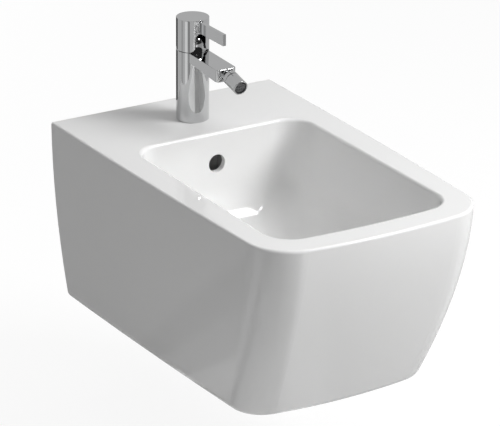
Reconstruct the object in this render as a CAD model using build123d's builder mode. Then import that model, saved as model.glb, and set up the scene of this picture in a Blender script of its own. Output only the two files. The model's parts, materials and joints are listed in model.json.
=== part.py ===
from build123d import *
import os
from math import cos, radians, sin, sqrt

os.makedirs("parts", exist_ok=True)

# Wall-hung bidet: a hollow ceramic body, a single-lever tap with a swivelling nozzle,
# a push-open waste, a bottle trap and the wall fixings. Millimetres throughout.
# Y = 0 is the finished wall and the front faces -Y. Z = 0 is the line of the wall studs.

# Ceramic body, outside
body_width = 350.0
body_depth = 560.0
body_height = 266.0
deck = 80.0
side_taper = 23.0
side_power = 1.86
front_taper = 90.0
front_power = 1.53
side_bow = 12.0
front_bow = 14.0
deck_corner_radius = 62.0
foot_corner_radius = 48.0
deck_edge_radius = 3.5
foot_edge_radius = 14.0
back_allowance = 2.0
skin_steps = 5

# Ceramic body, inside
skin = 11.0
deck_wall = 12.0
back_wall = 14.0
foot_lip = 27.0
service_width = 124.0
service_drop = 34.0

# Basin
basin_width = 260.0
basin_length = 374.0
basin_back = 146.0
basin_depth = 140.0
basin_front_bow = 7.0
basin_side_draft = 16.0
basin_back_draft = 2.0
basin_front_draft = 26.0
basin_front_corner = 38.0
basin_back_corner = 34.0
basin_corner_growth = 12.0
basin_floor_radius = 60.0
basin_rim_radius = 5.0
basin_roll_steps = 6

# Overflow
overflow_radius = 12.75
overflow_drop = 44.6
duct_width = 27.0
duct_depth = 12.0
duct_wall = 7.0
duct_screen = 9.0

# Wall fixings, one set on each stud
stud_spacing = 180.0
stud_clear_radius = 6.5
nut_thread_radius = 6.1
sleeve_radius = 10.0
sleeve_clearance = 0.2
sleeve_flange_radius = 14.0
sleeve_flange = 2.0
stud_washer_radius = 17.0
stud_washer = 3.0
stud_nut_width = 19.0
stud_nut = 10.0

# Waste outlet in the basin floor
waste_setback = 300.0
waste_bore_radius = 23.5
boss_wall = 13.0
boss_drop = 33.0
dish_radius = 62.0
dish_depth = 4.0
waste_seat_radius = 33.0
waste_seal = 1.5
waste_flange_radius = 31.5
waste_flange = 2.5
waste_thread_radius = 20.9
waste_tube_bore = 17.5
waste_tube_length = 57.0
waste_slot_width = 9.0
waste_slot_height = 12.0
waste_slots = 4
cone_seal = 7.0
cone_seal_radius = 27.0
waste_nut_radius = 28.0
waste_nut = 9.0
nut_lugs = 8
nut_lug_radius = 3.4

# Push-open plug
plug_radius = 29.0
plug_thickness = 4.0
plug_crown = 1.5
plug_travel = 7.0
plug_seal_radius = 24.5
plug_seal = 2.0
plug_seal_gap = 0.3
plug_spigot_radius = 15.5
plug_spigot = 3.5
plug_stem_radius = 3.5
plug_stem_length = 34.0
click_housing_radius = 8.0
click_housing_length = 26.0
click_bore = 5.5
spider_arms = 3
spider_arm = 3.0
spider_height = 6.0
spring_radius = 4.6
spring_wire = 0.4
spring_turns = 6
spring_seat = 1.6
spring_length = 15.0

# Bottle trap and wall outlet
trap_nut_radius = 27.0
trap_nut = 18.0
trap_nut_overlap = 9.0
dip_tube_radius = 16.0
dip_tube_bore = 14.5
dip_tube_length = 78.0
trap_head_radius = 30.0
trap_spigot_clearance = 2.0
trap_wall = 2.5
trap_cup_radius = 33.0
trap_cup = 40.0
trap_cup_edge = 5.0
trap_cup_shoulder = 5.0
trap_thread = 12.0
trap_seal = 2.5
trap_outlet_drop = 23.0
outlet_radius = 16.0
outlet_bore = 14.5
outlet_spigot_radius = 20.0
outlet_spigot = 26.0
outlet_nut_radius = 25.0
outlet_nut = 20.0
outlet_past_wall = 45.0
pipe_mark = 1.0
pipe_mark_depth = 0.4

# Tap body and spout
tap_setback = 81.0
tap_radius = 22.5
tap_hole_radius = 17.5
tap_height = 146.0
handle_gap_level = 101.0
handle_gap = 1.0
tap_base_edge = 0.8
spout_width = 30.5
spout_root_height = 13.4
spout_end_height = 17.7
spout_level = 94.6
spout_slope = 3.4
spout_start = 14.0
spout_reach = 90.0
spout_corner = 5.0
spout_edge = 0.8
waterway_radius = 2.4
inlet_radius = 4.6
inlet_core_radius = 4.4
inlet_depth = 14.0
inlet_spread = 15.0
inlet_forward = 6.0
base_recess_radius = 18.5
base_recess = 2.0
base_seal_radius = 20.0
base_seal_wire = 1.2

# Tap clamp below the deck
clamp_stud_radius = 4.0
clamp_stud_back = 10.0
clamp_stud_up = 14.0
clamp_stud_down = 62.0
clamp_plate_radius = 25.0
clamp_gasket = 3.0
clamp_plate = 3.0
clamp_slot_width = 30.0
clamp_slot_back = 3.0
clamp_nut_width = 13.0
clamp_nut = 14.0
clamp_clearance = 0.15

# Cartridge
cartridge_radius = 17.5
cartridge_clearance = 0.3
cartridge_floor = 72.0
cartridge_height = 24.0
cartridge_base = 8.0
cartridge_wall = 2.7
ports = 3
port_radius = 3.2
port_circle = 8.0
first_port_angle = 90.0
fixed_disc_radius = 14.4
fixed_disc = 5.0
moving_disc_radius = 8.8
moving_disc = 5.7
disc_gap = 0.3
carrier_radius = 14.4
carrier_top = 111.0
carrier_slot_width = 9.0
carrier_slot_length = 22.0
lift_pivot = 107.0
lift_arm = 16.0
lift_tip_radius = 2.3
lift_tip_clearance = 0.4
lift_angle = 20.0
pin_radius = 1.5
pin_clearance = 0.1
stem_radius = 4.0
stem_arm_radius = 1.8
stem_top = 139.0
cartridge_nut = 9.0
cartridge_nut_bore = 15.0
nut_hex_width = 30.5
dome_radius = 19.75
dome_wall = 1.5
dome_mouth = 12.0

# Handle
handle_wall = 1.6
handle_top_wall = 3.0
handle_edge = 0.6
hub_radius = 7.5
hub_bottom = 129.0
hub_clearance = 0.1
lever_thickness = 5.3
lever_drop = 1.5
lever_height = 16.0
lever_reach = 83.5
lever_low_corner = 5.0
lever_top_corner = 1.0
arch_top = 127.5
arch_half_width = 8.2
arch_flare = 8.0
grub_level = 135.0
grub_radius = 2.5
grub_length = 6.0
grub_socket_radius = 1.25
grub_socket_depth = 3.0
index_radius = 3.0
index_clearance = 0.05

# Ball joint and nozzle
collar_radius = 8.8
collar = 2.3
shank_radius = 7.0
shank = 11.0
neck_radius = 4.0
ball_radius = 8.0
ball_reach = 101.0
ball_bore = 2.5
ball_gap = 0.3
seat_wall = 0.6
seat_front_angle = 72.0
seat_back_angle = 98.0
nozzle_tilt = 14.0
nozzle_radius = 10.3
nozzle_lip = 3.4
nozzle_length = 26.0
nozzle_rear_edge = 1.6
nozzle_front_edge = 0.5
nozzle_groove_at = 3.0
nozzle_groove = 1.3
nozzle_groove_depth = 0.6
seal_bore = 7.1
seal_shoulder = 8.3
seal_wire = 0.95
seal_angle = 40.0
throat_radius = 5.0
aerator_seat = 15.0
aerator_bore = 8.6
aerator_clearance = 0.1
aerator_recess = 1.0
aerator_rim = 1.0
aerator_mesh = 1.5
aerator_hole_radius = 0.62
aerator_hole_pitch = 1.9
aerator_hole_rows = 7

# Levels and centres that follow from the sizes above
foot = deck - body_height
deck_underside = deck - deck_wall
basin_floor = deck - basin_depth
tap_plane = Plane(origin=(0, -tap_setback, deck))
tap_axis = Axis((0, -tap_setback, deck), (0, 0, 1))
waste_plane = Plane(origin=(0, -waste_setback, basin_floor))
body_top = handle_gap_level - handle_gap / 2
handle_bottom = handle_gap_level + handle_gap / 2
stud_places = [(-stud_spacing / 2, 0), (stud_spacing / 2, 0)]


def finish(builder, name):
    """Label a finished piece and write it out."""
    builder.part.label = name
    export_step(builder.part, f"parts/{name}.step")


def ring(plane, outer, inner=0.0):
    """A round section, with a round hole if an inner radius is given."""
    with BuildSketch(plane) as section:
        Circle(outer)
        if inner:
            Circle(inner, mode=Mode.SUBTRACT)
    return section.sketch


def hexagon(plane, width, bore):
    """A nut's section from its width across the flats."""
    with BuildSketch(plane) as section:
        RegularPolygon(width / 2, 6, major_radius=False)
        Circle(bore, mode=Mode.SUBTRACT)
    return section.sketch


def wall_level(offset):
    """The plane of the wall, moved off it into the room, with Z up in the sketch."""
    return Plane.XZ.offset(offset)


# Ceramic body


def skin_section(depth, inset=0.0, back=0.0):
    """Plan outline of the outer skin at a depth below the deck, moved in by the inset."""
    share = depth / body_height
    half = body_width / 2 - side_taper * share**side_power - inset
    front = body_depth - front_taper * share**front_power - inset
    corner = deck_corner_radius + (foot_corner_radius - deck_corner_radius) * share - inset
    side_end = front - front_bow
    with BuildSketch(Plane.XY.offset(deck - depth)) as section:
        with BuildLine():
            Line((-half, -back), (half, -back))
            side = [(half, -back), (half - side_bow / 4, -side_end / 2), (half - side_bow, -side_end)]
            ThreePointArc(*side)
            ThreePointArc((half - side_bow, -side_end), (0, -front), (side_bow - half, -side_end))
            ThreePointArc(*[(-x, y) for x, y in reversed(side)])
        make_face()
        fillet(section.vertices().group_by(Axis.Y)[0], radius=corner)
    return section.sketch


def skin_sections(top, bottom, inset=0.0, back=0.0):
    """Outlines at even steps from one depth to another."""
    step = (bottom - top) / skin_steps
    return [skin_section(top + step * i, inset, back) for i in range(skin_steps + 1)]


def basin_section(depth, inset):
    """Plan outline of the basin at a depth below the deck, moved in by the inset."""
    share = depth / basin_depth
    half = basin_width / 2 - basin_side_draft * share - inset
    back = basin_back + basin_back_draft * share + inset
    front = basin_back + basin_length - basin_front_draft * share - inset
    side_end = front - basin_front_bow
    growth = basin_corner_growth * share
    with BuildSketch(Plane.XY.offset(deck - depth)) as section:
        with BuildLine():
            Polyline((-half, -side_end), (-half, -back), (half, -back), (half, -side_end))
            ThreePointArc((half, -side_end), (0, -front), (-half, -side_end))
        make_face()
        fillet(section.vertices().group_by(Axis.Y)[-1], radius=basin_back_corner + growth)
        fillet(section.vertices().group_by(Axis.Y)[0], radius=basin_front_corner + growth)
    return section.sketch


def basin_wall(grow):
    """Outlines at the top and the foot of the straight basin wall, moved out by grow."""
    return [basin_section(0.0, -grow), basin_section(basin_depth - basin_floor_radius, -grow)]


def basin_curve(grow):
    """Outlines round the curve from the basin wall into its floor, moved out by grow."""
    straight = basin_depth - basin_floor_radius
    rolled = basin_floor_radius + grow
    sections = []
    for i in range(basin_roll_steps + 1):
        angle = radians(90.0 * i / basin_roll_steps)
        depth = straight + rolled * sin(angle)
        sections.append(basin_section(depth, basin_floor_radius - rolled * cos(angle)))
    return sections


duct_y = basin_back - duct_screen - duct_depth / 2
duct_bend = basin_floor_radius + skin + basin_back_draft
duct_top = deck - overflow_drop + duct_width / 2
duct_floor = basin_floor - skin - duct_depth / 2


def duct_path(top):
    """Centre line of the overflow channel, down behind the basin and under its floor."""
    with BuildLine(Plane.YZ) as path:
        FilletPolyline(
            (-duct_y, top),
            (-duct_y, duct_floor),
            (-waste_setback, duct_floor),
            radius=duct_bend,
        )
    return path.line


def duct_section(top, margin):
    """The channel's section at its top end, grown by a margin all round."""
    with BuildSketch(Plane(origin=(0, -duct_y, top))) as section:
        Rectangle(duct_width + 2 * margin, duct_depth + 2 * margin)
    return section.sketch


# The casting is one piece of ware in two nodes that meet below the deck, so that each is a simple shell
with BuildPart() as ceramic_body:
    loft(skin_sections(0.0, body_height, back=-back_allowance))
    rims = ceramic_body.faces().sort_by(Axis.Z)[-1].edges().filter_by(lambda e: e.center().Y < 0)
    fillet(rims, radius=deck_edge_radius)
    feet = ceramic_body.faces().sort_by(Axis.Z)[0].edges().filter_by(lambda e: e.center().Y < 0)
    fillet(feet, radius=foot_edge_radius)
    # The back is ground flat, down to the wall's plane
    split(bisect_by=Plane.XZ, keep=Keep.TOP)
    loft(basin_wall(0.0), mode=Mode.SUBTRACT)
    basin_rim = ceramic_body.faces().sort_by(Axis.Z)[-1].inner_wires().edges()
    fillet(basin_rim, radius=basin_rim_radius)
    loft(skin_sections(deck_wall, body_height - skin, skin, back_wall), mode=Mode.SUBTRACT)
    # Underside, open inside the turned-in foot lip
    extrude(skin_section(body_height, foot_lip, back_wall), amount=skin, both=True, mode=Mode.SUBTRACT)
    # Service notch for the pipes, up from the foot through the back wall
    with BuildSketch(Plane.XY.offset(foot)):
        with Locations((0, -foot_lip / 2)):
            Rectangle(service_width, foot_lip)
    extrude(amount=body_height - service_drop, mode=Mode.SUBTRACT)
    with BuildSketch(wall_level(0)):
        with Locations(*stud_places):
            Circle(sleeve_radius + sleeve_clearance)
    extrude(amount=back_wall, mode=Mode.SUBTRACT)
    extrude(ring(tap_plane, tap_hole_radius), amount=-deck_wall, mode=Mode.SUBTRACT)
finish(ceramic_body, "ceramic_body")

overflow_plane = Plane(origin=(0, -duct_y, deck - overflow_drop), z_dir=(0, -1, 0))
with BuildPart() as ceramic_basin:
    loft(basin_wall(skin))
    loft(basin_curve(skin))
    split(bisect_by=Plane.XY.offset(deck_underside), keep=Keep.BOTTOM)
    rib_top = duct_top + duct_wall
    sweep(duct_section(rib_top, duct_wall), path=duct_path(rib_top))
    extrude(ring(waste_plane, waste_bore_radius + boss_wall), amount=-boss_drop)
    loft(basin_wall(0.0), mode=Mode.SUBTRACT)
    loft(basin_curve(0.0), mode=Mode.SUBTRACT)
    # Overflow hole, its channel and the waste outlet
    extrude(ring(overflow_plane, overflow_radius), amount=2 * duct_screen, mode=Mode.SUBTRACT)
    sweep(duct_section(duct_top, 0.0), path=duct_path(duct_top), mode=Mode.SUBTRACT)
    loft([ring(waste_plane, dish_radius), ring(waste_plane.offset(-dish_depth), waste_seat_radius)],
         mode=Mode.SUBTRACT)
    extrude(ring(waste_plane, waste_bore_radius), amount=-boss_drop, mode=Mode.SUBTRACT)
finish(ceramic_basin, "ceramic_basin")

# Wall fixings: a plastic sleeve, a washer and a nut on each stud, inside the back wall
sleeve_inner = back_wall + sleeve_flange
with BuildPart() as wall_sleeves:
    with BuildSketch(wall_level(0)):
        with Locations(*stud_places):
            Circle(sleeve_radius)
            Circle(stud_clear_radius, mode=Mode.SUBTRACT)
    extrude(amount=back_wall)
    with BuildSketch(wall_level(back_wall)):
        with Locations(*stud_places):
            Circle(sleeve_flange_radius)
            Circle(stud_clear_radius, mode=Mode.SUBTRACT)
    extrude(amount=sleeve_flange)
finish(wall_sleeves, "wall_sleeves")

with BuildPart() as wall_washers:
    with BuildSketch(wall_level(sleeve_inner)):
        with Locations(*stud_places):
            Circle(stud_washer_radius)
            Circle(stud_clear_radius, mode=Mode.SUBTRACT)
    extrude(amount=stud_washer)
finish(wall_washers, "wall_washers")

with BuildPart() as wall_nuts:
    with BuildSketch(wall_level(sleeve_inner + stud_washer)):
        with Locations(*stud_places):
            RegularPolygon(stud_nut_width / 2, 6, major_radius=False)
            Circle(nut_thread_radius, mode=Mode.SUBTRACT)
    extrude(amount=stud_nut)
finish(wall_nuts, "wall_nuts")

# Tap body with its spout, which falls gently, hollow for the cartridge and drilled for the water
spout_root = (0, -tap_setback, deck + spout_level)
spout_way = (0, -cos(radians(spout_slope)), -sin(radians(spout_slope)))
spout_side = Plane(origin=spout_root, x_dir=spout_way, z_dir=(-1, 0, 0))
waterway_plane = Plane(origin=spout_root, x_dir=(1, 0, 0), z_dir=spout_way)
with BuildPart() as tap_body:
    with BuildSketch(spout_side):
        with BuildLine():
            Polyline((spout_start, -spout_root_height / 2), (spout_reach, -spout_end_height / 2),
                     (spout_reach, spout_end_height / 2), (spout_start, spout_root_height / 2), close=True)
        make_face()
    extrude(amount=spout_width / 2, both=True)
    end_face = tap_body.faces().sort_by(Axis(spout_root, spout_way))[-1]
    end_corners = end_face.edges().sort_by(Axis.X)
    fillet([end_corners[0], end_corners[-1]], radius=spout_corner)
    flats = tap_body.faces().sort_by(Axis.Z)
    fillet(flats[0].edges() + flats[-1].edges(), radius=spout_edge)
    extrude(ring(tap_plane, tap_radius), amount=body_top)
    base_edge = tap_body.faces().sort_by(Axis.Z)[0].edges()
    chamfer(base_edge, length=tap_base_edge)
    extrude(ring(tap_plane.offset(cartridge_floor), cartridge_radius + cartridge_clearance),
            amount=body_top - cartridge_floor, mode=Mode.SUBTRACT)
    extrude(ring(tap_plane, base_recess_radius), amount=base_recess, mode=Mode.SUBTRACT)
    extrude(ring(waterway_plane, waterway_radius), amount=spout_reach, mode=Mode.SUBTRACT)
    extrude(ring(waterway_plane.offset(spout_reach - shank), shank_radius), amount=shank, mode=Mode.SUBTRACT)
    with BuildSketch(tap_plane.offset(base_recess)):
        with Locations((-inlet_spread / 2, -inlet_forward), (inlet_spread / 2, -inlet_forward)):
            Circle(inlet_radius)
    extrude(amount=inlet_depth, mode=Mode.SUBTRACT)
    with BuildSketch(tap_plane.offset(base_recess)):
        with Locations((-inlet_spread / 2, -inlet_forward), (inlet_spread / 2, -inlet_forward)):
            Circle(inlet_core_radius)
    extrude(amount=cartridge_floor, mode=Mode.SUBTRACT)
    with BuildSketch(tap_plane.offset(base_recess)):
        with Locations((0, clamp_stud_back)):
            Circle(clamp_stud_radius)
    extrude(amount=clamp_stud_up, mode=Mode.SUBTRACT)
    groove_side = Plane.XZ.offset(tap_setback)
    with BuildSketch(groove_side):
        with Locations((base_seal_radius, deck)):
            Circle(base_seal_wire)
    revolve(axis=tap_axis, mode=Mode.SUBTRACT)
finish(tap_body, "tap_body")

with BuildPart() as tap_base_seal:
    with BuildSketch(groove_side) as seal_section:
        with Locations((base_seal_radius, deck)):
            Circle(base_seal_wire)
        with Locations((base_seal_radius, deck - base_seal_wire / 2)):
            Rectangle(3 * base_seal_wire, base_seal_wire, mode=Mode.SUBTRACT)
    revolve(axis=tap_axis)
finish(tap_base_seal, "tap_base_seal")

# Clamp below the deck: stud, rubber and steel crescents, long nut
with BuildPart() as clamp_stud:
    with BuildSketch(tap_plane.offset(-clamp_stud_down)):
        with Locations((0, clamp_stud_back)):
            Circle(clamp_stud_radius)
    extrude(amount=clamp_stud_down + base_recess + clamp_stud_up)
finish(clamp_stud, "clamp_stud")


def crescent(level):
    """Clamp plate outline: a disc, open to the front for the hoses, holed for the stud."""
    with BuildSketch(tap_plane.offset(level)) as section:
        Circle(clamp_plate_radius)
        with Locations((0, clamp_slot_back - clamp_plate_radius)):
            Rectangle(clamp_slot_width, 2 * clamp_plate_radius, mode=Mode.SUBTRACT)
        with Locations((0, clamp_stud_back)):
            Circle(clamp_stud_radius + clamp_clearance, mode=Mode.SUBTRACT)
    return section.sketch


with BuildPart() as clamp_rubber:
    extrude(crescent(-deck_wall - clamp_gasket), amount=clamp_gasket)
finish(clamp_rubber, "clamp_rubber")

with BuildPart() as clamp_washer:
    extrude(crescent(-deck_wall - clamp_gasket - clamp_plate), amount=clamp_plate)
finish(clamp_washer, "clamp_washer")

clamp_nut_level = deck_underside - clamp_gasket - clamp_plate
clamp_nut_plane = Plane(origin=(0, clamp_stud_back - tap_setback, clamp_nut_level))
with BuildPart() as clamp_nut_piece:
    extrude(hexagon(clamp_nut_plane, clamp_nut_width, clamp_stud_radius), amount=-clamp_nut)
finish(clamp_nut_piece, "clamp_nut")

# Cartridge: housing, discs, turning carrier, pin and lifting stem
fixed_disc_level = cartridge_floor + cartridge_base
moving_disc_level = fixed_disc_level + fixed_disc + disc_gap
disc_top = moving_disc_level + moving_disc
with BuildPart() as cartridge_housing:
    extrude(ring(tap_plane.offset(cartridge_floor), cartridge_radius), amount=cartridge_height)
    extrude(ring(tap_plane.offset(fixed_disc_level), cartridge_radius - cartridge_wall),
            amount=cartridge_height, mode=Mode.SUBTRACT)
    with BuildSketch(tap_plane.offset(cartridge_floor)):
        with PolarLocations(port_circle, ports, start_angle=first_port_angle):
            Circle(port_radius)
    extrude(amount=cartridge_base, mode=Mode.SUBTRACT)
finish(cartridge_housing, "cartridge_housing")

with BuildPart() as fixed_disc_piece:
    extrude(ring(tap_plane.offset(fixed_disc_level), fixed_disc_radius), amount=fixed_disc)
    with BuildSketch(tap_plane.offset(fixed_disc_level)):
        with PolarLocations(port_circle, ports, start_angle=first_port_angle):
            Circle(port_radius)
    extrude(amount=fixed_disc, mode=Mode.SUBTRACT)
finish(fixed_disc_piece, "fixed_disc")

with BuildPart() as moving_disc_piece:
    extrude(ring(tap_plane.offset(moving_disc_level), moving_disc_radius), amount=moving_disc)
    tip_depth = lift_tip_radius + disc_gap
    extrude(ring(tap_plane.offset(disc_top - tip_depth), lift_tip_radius + lift_tip_clearance),
            amount=tip_depth, mode=Mode.SUBTRACT)
finish(moving_disc_piece, "moving_disc")

pin_plane = Plane(origin=(0, -tap_setback, deck + lift_pivot), z_dir=(1, 0, 0))
with BuildPart() as cartridge_carrier:
    carrier_bottom = disc_top + disc_gap
    extrude(ring(tap_plane.offset(carrier_bottom), carrier_radius), amount=carrier_top - carrier_bottom)
    with BuildSketch(tap_plane.offset(carrier_bottom)):
        Rectangle(carrier_slot_width, carrier_slot_length)
    extrude(amount=carrier_top - carrier_bottom, mode=Mode.SUBTRACT)
    extrude(ring(pin_plane, pin_radius), amount=carrier_radius, both=True, mode=Mode.SUBTRACT)
finish(cartridge_carrier, "cartridge_carrier")

with BuildPart() as lift_pin:
    extrude(ring(pin_plane, pin_radius), amount=carrier_radius - pin_radius, both=True)
finish(lift_pin, "lift_pin")

with BuildPart() as cartridge_stem:
    stem_bottom_plane = tap_plane.offset(lift_pivot - stem_radius)
    extrude(ring(stem_bottom_plane, stem_radius), amount=stem_top - lift_pivot + stem_radius)
    extrude(ring(tap_plane.offset(lift_pivot - lift_arm), stem_arm_radius), amount=lift_arm)
    with Locations((0, -tap_setback, deck + lift_pivot - lift_arm)):
        Sphere(lift_tip_radius)
    extrude(ring(pin_plane, pin_radius + pin_clearance), amount=stem_radius, both=True, mode=Mode.SUBTRACT)
finish(cartridge_stem, "cartridge_stem")

nut_level = cartridge_floor + cartridge_height
with BuildPart() as cartridge_nut_piece:
    extrude(ring(tap_plane.offset(nut_level), cartridge_radius + cartridge_clearance, cartridge_nut_bore),
            amount=body_top - nut_level)
    extrude(hexagon(tap_plane.offset(body_top), nut_hex_width, cartridge_nut_bore),
            amount=nut_level + cartridge_nut - body_top)
finish(cartridge_nut_piece, "cartridge_nut")

with BuildPart() as cartridge_dome:
    with BuildSketch(Plane.XZ.offset(tap_setback)):
        with BuildLine():
            mouth_out = sqrt(dome_radius**2 - dome_mouth**2)
            inner = dome_radius - dome_wall
            mouth_in = sqrt(inner**2 - dome_mouth**2)
            base = deck + body_top
            centre = deck + lift_pivot
            Line((inner, base), (dome_radius, base))
            Line((dome_radius, base), (dome_radius, centre))
            RadiusArc((dome_radius, centre), (dome_mouth, centre + mouth_out), -dome_radius)
            Line((dome_mouth, centre + mouth_out), (dome_mouth, centre + mouth_in))
            RadiusArc((dome_mouth, centre + mouth_in), (inner, centre), inner)
            Line((inner, centre), (inner, base))
        make_face()
    revolve(axis=tap_axis)
finish(cartridge_dome, "cartridge_dome")

# Handle: a cap with a blade lever, an arch under the lever and a rising cut at the back
pivot_point = (0, -tap_setback, deck + lift_pivot)
rise = lift_pivot - handle_gap_level
with BuildPart() as tap_handle:
    with BuildSketch(Plane.YZ):
        with BuildLine():
            lever_top = deck + tap_height - lever_drop
            lever_bottom = lever_top - lever_height
            lever_root = -tap_setback - tap_radius + handle_wall
            lever_tip = -tap_setback - lever_reach
            Polyline((lever_root, lever_top), (lever_tip, lever_top), (lever_tip, lever_bottom),
                     (lever_root, lever_bottom), close=True)
        blade = make_face()
        fillet(blade.vertices().group_by(Axis.Y)[0].sort_by(Axis.Z)[0], radius=lever_low_corner)
        fillet(blade.vertices().group_by(Axis.Y)[0].sort_by(Axis.Z)[-1], radius=lever_top_corner)
    extrude(amount=lever_thickness / 2, both=True)
    lever_sides = tap_handle.faces().sort_by(Axis.X)
    lever_edges = [e for side in (lever_sides[0], lever_sides[-1]) for e in side.edges().sort_by(Axis.Y)[:-1]]
    fillet(lever_edges, radius=handle_edge)
    extrude(ring(tap_plane.offset(handle_bottom), tap_radius), amount=tap_height - handle_bottom)
    fillet(tap_handle.faces().sort_by(Axis.Z)[-1].edges(), radius=handle_edge)
    extrude(ring(tap_plane.offset(handle_bottom), tap_radius - handle_wall),
            amount=tap_height - handle_bottom - handle_top_wall, mode=Mode.SUBTRACT)
    extrude(ring(tap_plane.offset(hub_bottom), hub_radius), amount=tap_height - hub_bottom)
    # Arch below the lever, flared at the skirt's lower edge
    with BuildSketch(Plane.XZ.offset(tap_setback)):
        with BuildLine():
            low = deck + handle_bottom - handle_gap
            turn = deck + handle_bottom + arch_flare
            spring = deck + arch_top - arch_half_width
            foot_half = arch_half_width + arch_flare
            Line((-foot_half, low), (foot_half, low))
            Line((foot_half, low), (foot_half, deck + handle_bottom))
            RadiusArc((foot_half, deck + handle_bottom), (arch_half_width, turn), arch_flare)
            Line((arch_half_width, turn), (arch_half_width, spring))
            ThreePointArc((arch_half_width, spring), (0, deck + arch_top), (-arch_half_width, spring))
            Line((-arch_half_width, spring), (-arch_half_width, turn))
            RadiusArc((-arch_half_width, turn), (-foot_half, deck + handle_bottom), arch_flare)
            Line((-foot_half, deck + handle_bottom), (-foot_half, low))
        make_face()
    extrude(amount=tap_radius, mode=Mode.SUBTRACT)
    # Room for the skirt's back to swing down when the lever is lifted
    with BuildSketch(Plane.YZ):
        with BuildLine():
            back_edge = tap_radius + handle_wall
            turn_sin = sin(radians(lift_angle))
            turn_cos = cos(radians(lift_angle))
            near_cut = lift_pivot + (handle_gap_level - lift_pivot) / turn_cos
            far_cut = near_cut + back_edge * turn_sin / turn_cos
            cut_foot = deck + near_cut - rise
            cut_back = back_edge - tap_setback
            Polyline((-tap_setback, cut_foot), (-tap_setback, deck + near_cut), (cut_back, deck + far_cut),
                     (cut_back, cut_foot), close=True)
        make_face()
    extrude(amount=2 * tap_radius, both=True, mode=Mode.SUBTRACT)
    extrude(ring(tap_plane.offset(hub_bottom), stem_radius + hub_clearance),
            amount=stem_top - hub_bottom + hub_clearance, mode=Mode.SUBTRACT)
    grub_plane = Plane(origin=(0, -tap_setback, deck + grub_level), z_dir=(0, 1, 0))
    extrude(ring(grub_plane, grub_radius), amount=2 * hub_radius, mode=Mode.SUBTRACT)
    index_plane = grub_plane.offset(tap_radius - handle_wall)
    extrude(ring(index_plane, index_radius + index_clearance), amount=2 * handle_wall, both=True,
            mode=Mode.SUBTRACT)
finish(tap_handle, "tap_handle")

with BuildPart() as handle_grub:
    extrude(ring(grub_plane.offset(stem_radius), grub_radius), amount=grub_length)
    with BuildSketch(grub_plane.offset(stem_radius + grub_length)):
        RegularPolygon(grub_socket_radius, 6)
    extrude(amount=-grub_socket_depth, mode=Mode.SUBTRACT)
finish(handle_grub, "handle_grub")

with BuildPart() as index_plug:
    extrude(ring(index_plane, index_radius), amount=handle_wall)
finish(index_plug, "index_plug")

# Ball joint: the ball stem screws into the spout and the nozzle swings on it
ball_centre = waterway_plane.offset(ball_reach).origin
front_sin = sin(radians(nozzle_tilt))
front_cos = cos(radians(nozzle_tilt))
nozzle_plane = Plane(origin=ball_centre, x_dir=(1, 0, 0), z_dir=(0, -front_cos, -front_sin))
nozzle_side = Plane(origin=ball_centre, x_dir=(1, 0, 0), z_dir=(0, front_sin, -front_cos))
nozzle_axis = Axis(ball_centre, (0, -front_cos, -front_sin))
with BuildPart() as ball_stem:
    extrude(ring(waterway_plane.offset(spout_reach - shank), shank_radius), amount=shank)
    extrude(ring(waterway_plane.offset(spout_reach), collar_radius), amount=collar)
    extrude(ring(waterway_plane.offset(spout_reach), neck_radius), amount=ball_reach - spout_reach)
    with Locations(ball_centre):
        Sphere(ball_radius)
    extrude(ring(waterway_plane.offset(spout_reach - shank), ball_bore),
            amount=ball_reach - spout_reach + shank + ball_radius, mode=Mode.SUBTRACT)
finish(ball_stem, "ball_stem")


def polar(radius, angle):
    """A point of a ball joint's section, from its radius and the angle off the axis."""
    return (radius * sin(radians(angle)), radius * cos(radians(angle)))


seat_inner = ball_radius + ball_gap
seat_outer = seat_inner + seat_wall
socket_radius = seat_outer + ball_gap
seat_middle_angle = (seat_front_angle + seat_back_angle) / 2
with BuildPart() as ball_seat:
    with BuildSketch(nozzle_side):
        with BuildLine():
            ThreePointArc(polar(seat_outer, seat_front_angle), polar(seat_outer, seat_middle_angle),
                          polar(seat_outer, seat_back_angle))
            Line(polar(seat_outer, seat_back_angle), polar(seat_inner, seat_back_angle))
            ThreePointArc(polar(seat_inner, seat_back_angle), polar(seat_inner, seat_middle_angle),
                          polar(seat_inner, seat_front_angle))
            Line(polar(seat_inner, seat_front_angle), polar(seat_outer, seat_front_angle))
        make_face()
    revolve(axis=nozzle_axis)
finish(ball_seat, "ball_seat")

with BuildPart() as nozzle_housing:
    extrude(ring(nozzle_plane.offset(-nozzle_lip), nozzle_radius), amount=nozzle_lip + nozzle_length)
    rear = nozzle_housing.edges().sort_by(nozzle_axis)[0]
    fillet(rear, radius=nozzle_rear_edge)
    fore = nozzle_housing.edges().sort_by(nozzle_axis)[-1]
    fillet(fore, radius=nozzle_front_edge)
    with Locations(ball_centre):
        Sphere(socket_radius, mode=Mode.SUBTRACT)
    extrude(ring(nozzle_plane, seal_bore), amount=seal_shoulder, mode=Mode.SUBTRACT)
    extrude(ring(nozzle_plane, throat_radius), amount=aerator_seat, mode=Mode.SUBTRACT)
    aerator_plane = nozzle_plane.offset(aerator_seat)
    extrude(ring(aerator_plane, aerator_bore), amount=nozzle_length, mode=Mode.SUBTRACT)
    groove_floor = nozzle_radius - nozzle_groove_depth
    extrude(ring(nozzle_plane.offset(nozzle_groove_at), 2 * nozzle_radius, groove_floor),
            amount=nozzle_groove, mode=Mode.SUBTRACT)
finish(nozzle_housing, "nozzle_housing")

seal_reach = ball_radius + ball_gap + seal_wire
with BuildPart() as nozzle_seal:
    with BuildSketch(nozzle_side):
        with Locations(polar(seal_reach, seal_angle)):
            Circle(seal_wire)
    revolve(axis=nozzle_axis)
finish(nozzle_seal, "nozzle_seal")

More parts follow.
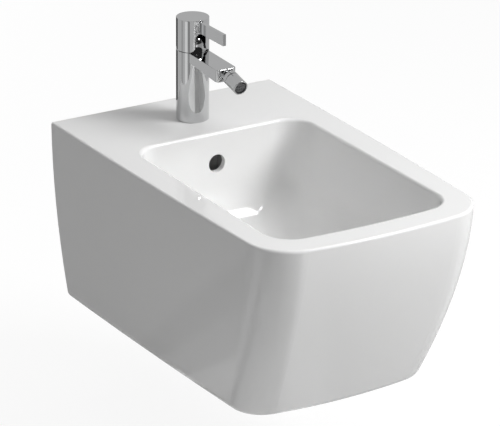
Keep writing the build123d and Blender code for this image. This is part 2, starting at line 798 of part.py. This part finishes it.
aerator_length = nozzle_length - aerator_recess - aerator_seat
with BuildPart() as aerator:
    extrude(ring(nozzle_plane.offset(aerator_seat), aerator_bore - aerator_clearance), amount=aerator_length)
    extrude(ring(nozzle_plane.offset(aerator_seat), aerator_bore - aerator_clearance - aerator_rim),
            amount=aerator_length - aerator_mesh, mode=Mode.SUBTRACT)
    with BuildSketch(nozzle_plane.offset(aerator_seat + aerator_length)):
        with HexLocations(aerator_hole_pitch / 2, aerator_hole_rows, aerator_hole_rows, major_radius=False):
            Circle(aerator_hole_radius)
    extrude(amount=-aerator_mesh, mode=Mode.SUBTRACT)
finish(aerator, "aerator")

# Waste: flanged tube, seals and nut
seat_level = -dish_depth
with BuildPart() as waste_tube:
    flange_plane = waste_plane.offset(seat_level + waste_seal)
    extrude(ring(flange_plane, waste_flange_radius, waste_tube_bore), amount=waste_flange)
    extrude(ring(flange_plane, waste_thread_radius, waste_tube_bore), amount=-waste_tube_length)
    for turn in range(waste_slots):
        heading = radians(360 / waste_slots * turn)
        side = Plane(origin=(0, -waste_setback, duct_floor), z_dir=(cos(heading), sin(heading), 0))
        with BuildSketch(side):
            SlotOverall(waste_slot_height, waste_slot_width, rotation=90)
        extrude(amount=2 * waste_thread_radius, mode=Mode.SUBTRACT)
finish(waste_tube, "waste_tube")

with BuildPart() as waste_seal_ring:
    extrude(ring(waste_plane.offset(seat_level), waste_flange_radius, waste_thread_radius), amount=waste_seal)
finish(waste_seal_ring, "waste_seal")

boss_underside = waste_plane.offset(-boss_drop)
with BuildPart() as cone_seal_ring:
    extrude(ring(boss_underside, cone_seal_radius, waste_thread_radius), amount=-cone_seal)
finish(cone_seal_ring, "cone_seal")


def lugged(plane, radius):
    """The section of a hand-tightened nut: a disc with round lugs."""
    with BuildSketch(plane) as section:
        Circle(radius)
        with PolarLocations(radius, nut_lugs):
            Circle(nut_lug_radius)
    return section.sketch


with BuildPart() as waste_nut_piece:
    waste_nut_plane = boss_underside.offset(-cone_seal - waste_nut)
    extrude(lugged(waste_nut_plane, waste_nut_radius), amount=waste_nut)
    extrude(ring(waste_nut_plane, waste_thread_radius), amount=waste_nut, mode=Mode.SUBTRACT)
finish(waste_nut_piece, "waste_nut")

# Push-open plug, drawn open: it presses down by its travel
flange_top = seat_level + waste_seal + waste_flange
plug_under = flange_top + plug_seal_gap + plug_seal + plug_travel
stem_bottom = plug_under - plug_stem_length
click_bottom = stem_bottom - spring_length - spring_seat
with BuildPart() as plug_cap:
    plug_plane = waste_plane.offset(plug_under)
    extrude(ring(plug_plane, plug_radius), amount=plug_thickness)
    crown_edge = plug_cap.faces().sort_by(Axis.Z)[-1].edges()
    fillet(crown_edge, radius=plug_crown)
    extrude(ring(plug_plane, plug_spigot_radius), amount=-plug_spigot)
finish(plug_cap, "plug_cap")

with BuildPart() as plug_seal_ring:
    extrude(ring(plug_plane, plug_seal_radius, plug_spigot_radius), amount=-plug_seal)
finish(plug_seal_ring, "plug_seal")

with BuildPart() as plug_stem:
    extrude(ring(waste_plane.offset(stem_bottom), plug_stem_radius), amount=plug_stem_length - plug_spigot)
finish(plug_stem, "plug_stem")

with BuildPart() as click_housing:
    extrude(ring(waste_plane.offset(click_bottom), click_housing_radius), amount=click_housing_length)
    with BuildSketch(waste_plane.offset(click_bottom)):
        with PolarLocations(waste_tube_bore / 2, spider_arms):
            Rectangle(waste_tube_bore, spider_arm)
    extrude(amount=spider_height)
    extrude(ring(waste_plane.offset(click_bottom), 2 * waste_tube_bore, waste_tube_bore),
            amount=click_housing_length, mode=Mode.SUBTRACT)
    extrude(ring(waste_plane.offset(click_bottom + spring_seat), click_bore),
            amount=click_housing_length, mode=Mode.SUBTRACT)
finish(click_housing, "click_housing")

spring_bottom = click_bottom + spring_seat + spring_wire
spring_top = stem_bottom - spring_wire
with BuildPart() as plug_spring:
    with BuildLine(waste_plane.offset(spring_bottom)):
        coil = Helix((spring_top - spring_bottom) / spring_turns, spring_top - spring_bottom, spring_radius)
    with BuildSketch(Plane(origin=coil @ 0, z_dir=coil % 0)):
        Circle(spring_wire)
    sweep(path=coil, is_frenet=True)
finish(plug_spring, "plug_spring")

# Bottle trap: slip nut, dip tube in the head, cup, and the outlet pipe to the wall
tube_end = seat_level + waste_seal - waste_tube_length
trap_nut_level = tube_end - trap_nut + trap_nut_overlap
trap_head_top = trap_nut_level
trap_head = trap_outlet_drop + outlet_spigot_radius + trap_spigot_clearance + trap_thread
trap_head_level = trap_head_top - trap_head
with BuildPart() as dip_tube:
    dip_plane = waste_plane.offset(tube_end - dip_tube_length)
    extrude(ring(dip_plane, dip_tube_radius, dip_tube_bore), amount=dip_tube_length)
    dip_flange_plane = waste_plane.offset(tube_end - trap_wall)
    extrude(ring(dip_flange_plane, waste_thread_radius, dip_tube_bore), amount=trap_wall)
finish(dip_tube, "dip_tube")

with BuildPart() as trap_nut_piece:
    trap_nut_plane = waste_plane.offset(trap_nut_level)
    extrude(lugged(trap_nut_plane, trap_nut_radius), amount=trap_nut)
    extrude(ring(trap_nut_plane, dip_tube_radius), amount=trap_nut, mode=Mode.SUBTRACT)
    extrude(ring(trap_nut_plane.offset(trap_nut - trap_nut_overlap - trap_wall), waste_thread_radius),
            amount=trap_nut, mode=Mode.SUBTRACT)
finish(trap_nut_piece, "trap_nut")

outlet_level = basin_floor + trap_head_top - trap_outlet_drop
outlet_plane = Plane(origin=(0, -waste_setback, outlet_level), z_dir=(0, 1, 0))
with BuildPart() as trap_head_piece:
    extrude(ring(waste_plane.offset(trap_head_level), trap_head_radius), amount=trap_head)
    extrude(ring(outlet_plane, outlet_spigot_radius), amount=trap_head_radius + outlet_spigot)
    extrude(ring(waste_plane.offset(trap_head_level), trap_head_radius - trap_wall),
            amount=trap_head - trap_wall, mode=Mode.SUBTRACT)
    extrude(ring(outlet_plane, outlet_radius), amount=trap_head_radius + outlet_spigot, mode=Mode.SUBTRACT)
    extrude(ring(waste_plane.offset(trap_head_level), dip_tube_radius), amount=trap_head, mode=Mode.SUBTRACT)
finish(trap_head_piece, "trap_head")

with BuildPart() as trap_seal_ring:
    trap_seal_plane = waste_plane.offset(trap_head_level - trap_seal)
    extrude(ring(trap_seal_plane, trap_head_radius, trap_head_radius - trap_cup_shoulder), amount=trap_seal)
finish(trap_seal_ring, "trap_seal")

with BuildPart() as trap_cup_piece:
    cup_top = trap_head_level + trap_thread
    cup_plane = waste_plane.offset(cup_top - trap_cup)
    extrude(ring(cup_plane, trap_cup_radius), amount=trap_cup)
    fillet(trap_cup_piece.faces().sort_by(Axis.Z)[0].edges(), radius=trap_cup_edge)
    extrude(ring(cup_plane.offset(trap_wall), trap_head_radius - trap_cup_shoulder), amount=trap_cup,
            mode=Mode.SUBTRACT)
    extrude(ring(trap_seal_plane, trap_head_radius), amount=trap_cup, mode=Mode.SUBTRACT)
finish(trap_cup_piece, "trap_cup")

spigot_end = trap_head_radius + outlet_spigot
with BuildPart() as outlet_pipe:
    start = trap_head_radius
    extrude(ring(outlet_plane.offset(start), outlet_radius, outlet_bore),
            amount=waste_setback + outlet_past_wall - start)
    # A ring cut round the pipe marks how far it goes into the wall
    extrude(ring(outlet_plane.offset(waste_setback - pipe_mark), outlet_spigot_radius,
                 outlet_radius - pipe_mark_depth), amount=pipe_mark, mode=Mode.SUBTRACT)
finish(outlet_pipe, "outlet_pipe")

with BuildPart() as outlet_nut_piece:
    nut_plane = outlet_plane.offset(spigot_end - outlet_nut / 2)
    extrude(lugged(nut_plane, outlet_nut_radius), amount=outlet_nut)
    extrude(ring(nut_plane, outlet_spigot_radius), amount=outlet_nut / 2 + trap_seal, mode=Mode.SUBTRACT)
    extrude(ring(nut_plane, outlet_radius), amount=outlet_nut, mode=Mode.SUBTRACT)
finish(outlet_nut_piece, "outlet_nut")

with BuildPart() as outlet_seal_ring:
    extrude(ring(outlet_plane.offset(spigot_end), outlet_spigot_radius, outlet_radius), amount=trap_seal)
finish(outlet_seal_ring, "outlet_seal")
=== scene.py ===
import json
import math

import bpy
from mathutils import Matrix, Vector


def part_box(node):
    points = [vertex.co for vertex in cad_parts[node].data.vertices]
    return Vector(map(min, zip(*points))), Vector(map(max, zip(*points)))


# A wall-hung bidet in glazed ceramic with a chromed lever tap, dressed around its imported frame.
# Metres throughout. The wall is at y = 0, the front faces -Y, and z = 0 is the line of the wall studs.

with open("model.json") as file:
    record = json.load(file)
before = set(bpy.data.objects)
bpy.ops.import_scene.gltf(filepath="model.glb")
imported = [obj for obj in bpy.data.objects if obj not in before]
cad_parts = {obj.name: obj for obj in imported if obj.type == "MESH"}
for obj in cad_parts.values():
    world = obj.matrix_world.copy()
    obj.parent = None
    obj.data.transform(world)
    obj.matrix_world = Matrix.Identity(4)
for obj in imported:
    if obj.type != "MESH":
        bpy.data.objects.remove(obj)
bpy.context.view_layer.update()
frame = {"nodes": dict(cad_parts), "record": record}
nodes = frame["nodes"]

# The camera, as fitted to the photograph's outline
CAMERA_AZIMUTH = math.radians(-31.51)
CAMERA_ELEVATION = math.radians(22.16)
CAMERA_ROLL = math.radians(0.51)
CAMERA_DISTANCE = 4.07624
CAMERA_TARGET = Vector((0.00109, -0.23141, -0.00747))
SENSOR_WIDTH = 36.0
FOCAL_SHARE = 3048.28 / 500
CAMERA_REACH = 50.0

# The height of the body's foot and deck, the plane of its back, and how soft the edge between
# glaze and bare bisque is
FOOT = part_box("ceramic_body")[0].z
DECK_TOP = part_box("ceramic_body")[1].z
BARE_BACK = 0.0
BARE_EDGE = 0.0006

# The overflow channel behind the basin's back wall, and the grey of the painted shade inside it
CHANNEL_FRONT = -0.1380
CHANNEL_BACK = -0.1245
CHANNEL_HALF = 0.0138
CHANNEL_TOP = 0.0500
CHANNEL_PAINTED_SHADE = (0.26, 0.26, 0.26)

# The tap's upright axis
TAP_Y = (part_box("cartridge_housing")[0].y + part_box("cartridge_housing")[1].y) / 2

# The nozzle's outlet: its middle, the line of the nozzle through it, where its dark ring starts and
# how soft that is as shares of its half-width, and how many cells of its screen go to a metre
AERATOR_LOW, AERATOR_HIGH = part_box("aerator")
AERATOR_MIDDLE = (AERATOR_LOW + AERATOR_HIGH) / 2
AERATOR_HALF = (AERATOR_HIGH - AERATOR_LOW).x / 2
BALL_LOW, BALL_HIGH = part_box("ball_stem")
NOZZLE_WAY = (BALL_LOW + BALL_HIGH - AERATOR_LOW - AERATOR_HIGH).normalized()
AERATOR_RING = 0.74
AERATOR_RING_EDGE = 0.08
AERATOR_CELLS = 900.0

# The floor: how far the rim usually stands over it, and half its size
RIM_OVER_FLOOR = 0.42
FLOOR_HALF = 4.0


def place_camera():
    """The camera at the photograph's angle and framing."""
    back = Vector((
        math.sin(CAMERA_AZIMUTH) * math.cos(CAMERA_ELEVATION),
        -math.cos(CAMERA_AZIMUTH) * math.cos(CAMERA_ELEVATION),
        math.sin(CAMERA_ELEVATION),
    ))
    level_right = Vector((math.cos(CAMERA_AZIMUTH), math.sin(CAMERA_AZIMUTH), 0.0))
    level_up = back.cross(level_right)
    right = level_right * math.cos(CAMERA_ROLL) + level_up * math.sin(CAMERA_ROLL)
    up = back.cross(right)
    data = bpy.data.cameras.new("photo_camera")
    data.sensor_width = SENSOR_WIDTH
    data.lens = SENSOR_WIDTH * FOCAL_SHARE
    data.clip_end = CAMERA_REACH
    camera = bpy.data.objects.new("photo_camera", data)
    turned = Matrix((right, up, back)).transposed().to_4x4()
    camera.matrix_world = Matrix.Translation(CAMERA_TARGET + back * CAMERA_DISTANCE) @ turned
    bpy.context.scene.collection.objects.link(camera)
    bpy.context.scene.camera = camera


class Value:
    """A socket in a shader tree. Arithmetic on it adds the Math nodes that the expression needs."""

    def __init__(self, tree, socket):
        self.tree = tree
        self.socket = socket

    def maths(self, operation, *others):
        node = self.tree.nodes.new("ShaderNodeMath")
        node.operation = operation
        for slot, item in zip(node.inputs, (self,) + others):
            if isinstance(item, Value):
                self.tree.links.new(item.socket, slot)
            else:
                slot.default_value = item
        return Value(self.tree, node.outputs[0])

    def __add__(self, other):
        return self.maths("ADD", other)

    __radd__ = __add__

    def __sub__(self, other):
        return self.maths("SUBTRACT", other)

    def __rsub__(self, first):
        node = self.tree.nodes.new("ShaderNodeMath")
        node.operation = "SUBTRACT"
        node.inputs[0].default_value = first
        self.tree.links.new(self.socket, node.inputs[1])
        return Value(self.tree, node.outputs[0])

    def __mul__(self, other):
        return self.maths("MULTIPLY", other)

    __rmul__ = __mul__

    def __gt__(self, other):
        return self.maths("GREATER_THAN", other)

    def __lt__(self, other):
        return self.maths("LESS_THAN", other)

    def clamp(self):
        return self.maths("MAXIMUM", 0.0).maths("MINIMUM", 1.0)

    def smooth(self, low, high):
        """0 below low, 1 above high and a soft step between them."""
        node = self.tree.nodes.new("ShaderNodeMapRange")
        node.interpolation_type = "SMOOTHSTEP"
        self.tree.links.new(self.socket, node.inputs["Value"])
        node.inputs["From Min"].default_value = low
        node.inputs["From Max"].default_value = high
        return Value(self.tree, node.outputs["Result"])


class Shader:
    """A node tree being written: node() adds any node by its type, settings and sockets."""

    def __init__(self, owner):
        owner.use_nodes = True
        self.tree = owner.node_tree
        self.tree.nodes.clear()

    def node(self, kind, settings=None, out=0, **inputs):
        node = self.tree.nodes.new(kind)
        for name, setting in (settings or {}).items():
            setattr(node, name, setting)
        for name, item in inputs.items():
            slot = find_socket(node, node.inputs, name)
            if isinstance(item, Value):
                self.tree.links.new(item.socket, slot)
            else:
                slot.default_value = item
        return Value(self.tree, find_socket(node, node.outputs, out)) if len(node.outputs) else None

    def place(self):
        """The point of the surface in the object's own metres."""
        return self.node("ShaderNodeTexCoord", out="Object")

    def axis(self, vector, index):
        return self.node("ShaderNodeSeparateXYZ", out=index, Vector=vector)

    def noise(self, scale, detail=3.0, roughness=0.5, vector=None):
        """Noise with about this many grains to the metre, from 0 to 1."""
        return self.node("ShaderNodeTexNoise", Vector=vector or self.place(), Scale=scale, Detail=detail,
                         Roughness=roughness)

    def colours(self, share, low, high):
        """A colour between two, by a share. Each is three numbers or another node's colour."""
        low, high = [end if isinstance(end, Value) else end + (1.0,) for end in (low, high)]
        return self.node("ShaderNodeMix", {"data_type": "RGBA"}, out="Result_Color", Factor_Float=share,
                         A_Color=low, B_Color=high)

    def bump(self, height, distance):
        """Relief with the height's full range standing for this many metres."""
        return self.node("ShaderNodeBump", Height=height, Distance=distance, Strength=1.0)

    def blend(self, share, first, second):
        """One shader where the share is 0, and another where it is 1."""
        return self.node("ShaderNodeMixShader", Fac=share, Shader=first, Shader_001=second)


def find_socket(node, sockets, name):
    """A socket by its number, its identifier, or its name with underscores for spaces."""
    if isinstance(name, int):
        return sockets[name]
    plain = name.replace("_", " ")
    for slot in sockets:
        if slot.identifier == name or (slot.name == plain and slot.enabled):
            return slot
    raise KeyError(f"{node.bl_idname} has no socket {name}")


def close_surface(shader, colour, roughness, normal=None, metallic=0.0):
    """Close a surface with one Principled shader."""
    relief = {"Normal": normal} if normal else {}
    surface = shader.node("ShaderNodeBsdfPrincipled", Base_Color=colour, Roughness=roughness,
                          Metallic=metallic, **relief)
    shader.node("ShaderNodeOutputMaterial", Surface=surface)


def new_material(name):
    material = bpy.data.materials.new(name)
    return material, Shader(material)


# Finishes


def glazed_ceramic():
    """White glaze, and bare bisque where the body stands against the wall and under its foot.
    Inside the overflow's channel the glaze is painted dark grey: painted shade for its unseen depth."""
    material, s = new_material("white_glaze")
    place = s.place()
    back = s.axis(place, 1).smooth(BARE_BACK - BARE_EDGE, BARE_BACK)
    foot = 1 - s.axis(place, 2).smooth(FOOT + BARE_EDGE, FOOT + 2 * BARE_EDGE)
    bare = back.maths("MAXIMUM", foot)
    drift = s.noise(5.0, 2.0, vector=place)
    peel = s.noise(70.0, 2.0, vector=place)
    pits = s.noise(1400.0, 2.0, vector=place)
    glaze = s.colours(drift, (0.80, 0.80, 0.795), (0.83, 0.83, 0.83))
    # Painted shade: inside the overflow's channel the glaze colour is darkened to grey for the depth that
    # goes unseen.
    across = s.axis(place, 0).maths("ABSOLUTE") < CHANNEL_HALF
    deep = (s.axis(place, 1) > CHANNEL_FRONT) * (s.axis(place, 1) < CHANNEL_BACK)
    channel = across * deep * (s.axis(place, 2) < CHANNEL_TOP)
    glaze = s.colours(channel, glaze, CHANNEL_PAINTED_SHADE)
    bisque = s.colours(pits, (0.70, 0.66, 0.60), (0.78, 0.75, 0.70))
    colour = s.colours(bare, glaze, bisque)
    roughness = 0.03 + drift * 0.03 + bare * 0.6
    height = peel * (1 - bare) * 0.6 + pits * bare
    close_surface(s, colour, roughness, s.bump(height, 0.00006))
    return material


def polished_chrome():
    """Bright plate with faint wiping marks and a slight ripple."""
    material, s = new_material("polished_chrome")
    place = s.place()
    smear = s.noise(38.0, 4.0, 0.6, vector=place)
    spots = s.noise(420.0, 2.0, vector=place).smooth(0.62, 0.72)
    colour = s.colours(smear, (0.61, 0.615, 0.62), (0.66, 0.665, 0.67))
    roughness = 0.03 + smear * 0.04 + spots * 0.05
    ripple = s.noise(60.0, 1.0, vector=place)
    close_surface(s, colour, roughness, s.bump(ripple, 0.00002), metallic=1.0)
    return material


def zinc_steel():
    """Zinc-plated steel with a fine drawn grain and duller patches."""
    material, s = new_material("zinc_steel")
    place = s.place()
    grain = s.noise(2600.0, 2.0, vector=place)
    bloom = s.noise(120.0, 3.0, vector=place)
    colour = s.colours(bloom, (0.50, 0.50, 0.49), (0.66, 0.66, 0.65))
    close_surface(s, colour, 0.28 + bloom * 0.22, s.bump(grain, 0.00002), metallic=1.0)
    return material


def turned_brass():
    """Bare brass with fine turning rings and a light tarnish."""
    material, s = new_material("turned_brass")
    place = s.place()
    rings = s.node("ShaderNodeTexWave", {"wave_type": "BANDS", "bands_direction": "Z"}, out="Fac",
                   Vector=place, Scale=1100.0, Distortion=0.5)
    tarnish = s.noise(160.0, 4.0, vector=place)
    colour = s.colours(tarnish, (0.48, 0.35, 0.16), (0.74, 0.57, 0.30))
    close_surface(s, colour, 0.22 + tarnish * 0.2, s.bump(rings, 0.00003), metallic=1.0)
    return material


def moulding(name, dark, light, roughness, grain, relief):
    """A plastic moulding with a fine eroded grain and a slow change of tone."""
    material, s = new_material(name)
    place = s.place()
    texture = s.noise(grain, 3.0, vector=place)
    drift = s.noise(40.0, 2.0, vector=place)
    colour = s.colours(drift, dark, light)
    close_surface(s, colour, roughness + texture * 0.12, s.bump(texture, relief))
    return material


def rubber(name, dark, light):
    """Matt rubber with bloom and a pebbled skin."""
    material, s = new_material(name)
    place = s.place()
    bloom = s.noise(90.0, 4.0, vector=place)
    pebble = s.noise(2200.0, 2.0, vector=place)
    close_surface(s, s.colours(bloom, dark, light), 0.62 + bloom * 0.2, s.bump(pebble, 0.00004))
    return material


def aerator_mesh():
    """The grey outlet screen: a fine grid inside a dark ring, about the nozzle's own axis. The holes
    between its threads are painted near-black, as painted shade.
    """
    material, s = new_material("grey_aerator")
    place = s.place()
    offset = s.node("ShaderNodeVectorMath", {"operation": "SUBTRACT"}, Vector=place,
                    Vector_001=AERATOR_MIDDLE)
    along = s.node("ShaderNodeVectorMath", {"operation": "DOT_PRODUCT"}, out="Value",
                   Vector=offset, Vector_001=NOZZLE_WAY)
    apart = s.node("ShaderNodeVectorMath", {"operation": "LENGTH"}, out="Value", Vector=offset)
    radius = (apart * apart - along * along).maths("MAXIMUM", 0.0).maths("SQRT")
    ring = radius.smooth(AERATOR_HALF * AERATOR_RING, AERATOR_HALF * (AERATOR_RING + AERATOR_RING_EDGE))
    cells = s.node("ShaderNodeTexVoronoi", {"feature": "DISTANCE_TO_EDGE"}, out="Distance",
                   Vector=place, Scale=AERATOR_CELLS, Randomness=0.15)
    thread = 1 - cells.smooth(0.04, 0.16)
    # Painted shade: the holes between the grid's threads are painted near-black, as the flat face has no
    # openings to go dark by themselves.
    colour = s.colours(thread * (1 - ring), (0.035, 0.035, 0.037), (0.30, 0.30, 0.31))
    close_surface(s, colour, 0.32 + thread * 0.15, s.bump(thread, 0.0002))
    return material


def lapped_ceramic():
    """Dense white disc ceramic with a mirror-flat lapped face."""
    material, s = new_material("lapped_ceramic")
    speckle = s.noise(1800.0, 2.0)
    colour = s.colours(speckle, (0.80, 0.79, 0.75), (0.88, 0.87, 0.84))
    close_surface(s, colour, 0.12 + speckle * 0.1)
    return material


# One finish for each material slot of the record. A moulding has its darkest and lightest colour,
# its roughness, its grains to the metre and their relief in metres.
FINISHES = {
    "ceramic": glazed_ceramic(),
    "chrome": polished_chrome(),
    "steel_zinc": zinc_steel(),
    "spring_steel": zinc_steel(),
    "brass": turned_brass(),
    "nylon_white": moulding("white_nylon", (0.74, 0.74, 0.70), (0.80, 0.80, 0.77), 0.42, 1500.0, 0.00003),
    "cartridge_plastic": moulding(
        "black_housing", (0.02, 0.02, 0.022), (0.035, 0.035, 0.038), 0.35, 1800.0, 0.00003),
    "carrier_plastic": moulding(
        "black_carrier", (0.03, 0.03, 0.03), (0.05, 0.05, 0.052), 0.4, 1800.0, 0.00003),
    "slide_plastic": moulding("slide_ring", (0.76, 0.76, 0.74), (0.84, 0.84, 0.82), 0.45, 1600.0, 0.00002),
    "aerator_plastic": aerator_mesh(),
    "waste_plastic": moulding(
        "black_waste", (0.03, 0.03, 0.03), (0.055, 0.055, 0.055), 0.45, 1500.0, 0.00004),
    "trap_plastic": moulding("white_trap", (0.78, 0.78, 0.765), (0.84, 0.84, 0.83), 0.22, 700.0, 0.00002),
    "index": moulding("grey_index", (0.34, 0.35, 0.37), (0.42, 0.43, 0.45), 0.3, 1600.0, 0.00002),
    "rubber_black": rubber("black_rubber", (0.012, 0.012, 0.012), (0.03, 0.03, 0.03)),
    "seal_pale": rubber("pale_seal", (0.55, 0.55, 0.52), (0.66, 0.66, 0.63)),
    "disc_ceramic": lapped_ceramic(),
}


def dress_nodes():
    """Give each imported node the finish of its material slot."""
    for part in frame["record"]["subparts"]:
        mesh = nodes[part["node"]].data
        mesh.materials.clear()
        mesh.materials.append(FINISHES[part["material_slot"]])


# Studio


WHITE = (1.0, 1.0, 1.0, 1.0)
FLOOR_TONE = (0.75, 0.75, 0.75, 1.0)
FLOOR_GLOW = 1.06
SHADOW_SHARE = 0.15
EVEN_LIGHT = 0.13
ROOM_TONE = 0.55

# What stands round the tap out of sight, as polished metal shows it: the bearing in degrees from +X
# of each screen's middle, half its width, and its tone
SCREENS = (
    (87.0, 25.0, 0.03),
    (162.0, 6.0, 0.40),
    (-166.0, 9.0, 0.86),
    (-146.0, 6.0, 0.26),
    (-100.0, 5.0, 0.28),
    (-88.0, 5.0, 0.88),
    (-60.0, 20.0, 0.37),
)
SCREEN_EDGE = 2.0
SCREEN_TOP = 10.0

# What hangs over them: bearing, half its width, height in degrees, half its height, and its tone
HANGINGS = (
    (-110.0, 72.0, 50.0, 42.0, 0.03),
    (-45.0, 10.0, 45.0, 8.0, 20.0),
    (-135.0, 16.0, 46.7, 13.0, 0.8),
    (0.0, 190.0, 90.0, 14.0, 0.9),
)
HANGING_EDGE = 1.5

# The soft boxes: name, middle and watts. All face the middle of the body.
LAMPS = (
    ("key_box", (1.48, -1.76, 1.84), 80.0),
    ("side_box", (-1.36, -1.64, 2.04), 6.0),
    ("top_box", (0.0, -0.28, 2.80), 14.0),
    ("back_box", (-0.30, 2.60, 0.25), 26.0),
)
LAMP_SIZE = 1.4
LAMP_AIM = Vector((0.0, -0.28, 0.0))


def bearing_of(east, north):
    """Degrees from +X, turning towards +Y."""
    return north.maths("ARCTAN2", east) * math.degrees(1.0)


def window(angle, middle, half, edge):
    """1 within half of the middle of an angle, 0 outside it, and a soft edge."""
    return 1 - (angle - middle).maths("ABSOLUTE").smooth(half - edge, half + edge)


def screen_tone(bearing):
    """The tone of the screens and of the room between them."""
    tone = ROOM_TONE
    for middle, half, shown in SCREENS:
        tone = tone + window(bearing, middle, half, SCREEN_EDGE) * (shown - ROOM_TONE)
    return tone


def sky_tone(s):
    """The tone of the world in every direction: screens up to SCREEN_TOP, and the hangings over them."""
    way = s.node("ShaderNodeTexCoord", out="Generated")
    east, north, up = [s.axis(way, index) for index in range(3)]
    bearing = bearing_of(east, north)
    height = up.maths("ARCSINE") * math.degrees(1.0)
    low = 1 - height.smooth(SCREEN_TOP - SCREEN_EDGE, SCREEN_TOP + SCREEN_EDGE)
    tone = ROOM_TONE + low * (screen_tone(bearing) - ROOM_TONE)
    for middle, half, level, reach, shown in HANGINGS:
        share = window(bearing, middle, half, HANGING_EDGE) * window(height, level, reach, HANGING_EDGE)
        tone = tone + share * (shown - tone)
    return tone


def light_paths(s):
    """Camera rays, and the rays that metal and glass send out."""
    kinds = ("Camera", "Glossy", "Transmission")
    camera, glossy, through = [s.node("ShaderNodeLightPath", out=f"Is {kind} Ray") for kind in kinds]
    return camera, (glossy + through).clamp()


def lay_floor():
    """A plain pale floor as far below the rim as it usually is, with the body's faint shadow."""
    level = DECK_TOP - RIM_OVER_FLOOR
    mesh = bpy.data.meshes.new("floor")
    corners = [(x * FLOOR_HALF, y * FLOOR_HALF, level) for x, y in ((-1, -1), (1, -1), (1, 1), (-1, 1))]
    mesh.from_pydata(corners, [], [(0, 1, 2, 3)])
    floor = bpy.data.objects.new("floor", mesh)
    bpy.context.scene.collection.objects.link(floor)
    material, s = new_material("floor")
    place = s.place()
    camera, mirrored = light_paths(s)
    shown = screen_tone(bearing_of(s.axis(place, 0), s.axis(place, 1) - TAP_Y))
    pale = s.node("ShaderNodeBsdfDiffuse", Color=FLOOR_TONE)
    room = s.node("ShaderNodeEmission", Strength=shown)
    white = s.node("ShaderNodeEmission", Strength=FLOOR_GLOW)
    above = s.blend(camera * (1 - SHADOW_SHARE), s.blend(mirrored, pale, room), white)
    # Clear from below, so that the underside can be looked at
    below = s.node("ShaderNodeNewGeometry", out="Backfacing")
    surface = s.blend(below, above, s.node("ShaderNodeBsdfTransparent"))
    s.node("ShaderNodeOutputMaterial", Surface=surface)
    mesh.materials.append(material)


def fill_world():
    """Even light from all round, white to the camera, and a studio for metal to show."""
    world = bpy.data.worlds.new("studio")
    bpy.context.scene.world = world
    s = Shader(world)
    camera, mirrored = light_paths(s)
    even = s.node("ShaderNodeBackground", Color=WHITE, Strength=EVEN_LIGHT)
    room = s.node("ShaderNodeBackground", Color=WHITE, Strength=sky_tone(s))
    white = s.node("ShaderNodeBackground", Color=WHITE, Strength=1.0)
    surface = s.blend(camera, s.blend(mirrored, even, room), white)
    s.node("ShaderNodeOutputWorld", Surface=surface)


def hang_lamps():
    """The soft boxes. Polished surfaces don't show them: they show the hangings."""
    for name, place, watts in LAMPS:
        data = bpy.data.lights.new(name, "AREA")
        data.size = LAMP_SIZE
        data.energy = watts
        lamp = bpy.data.objects.new(name, data)
        lamp.location = place
        lamp.rotation_euler = (LAMP_AIM - Vector(place)).to_track_quat("-Z", "Y").to_euler()
        lamp.visible_glossy = False
        bpy.context.scene.collection.objects.link(lamp)


dress_nodes()
lay_floor()
fill_world()
hang_lamps()
place_camera()
bpy.context.scene.view_settings.view_transform = "Standard"
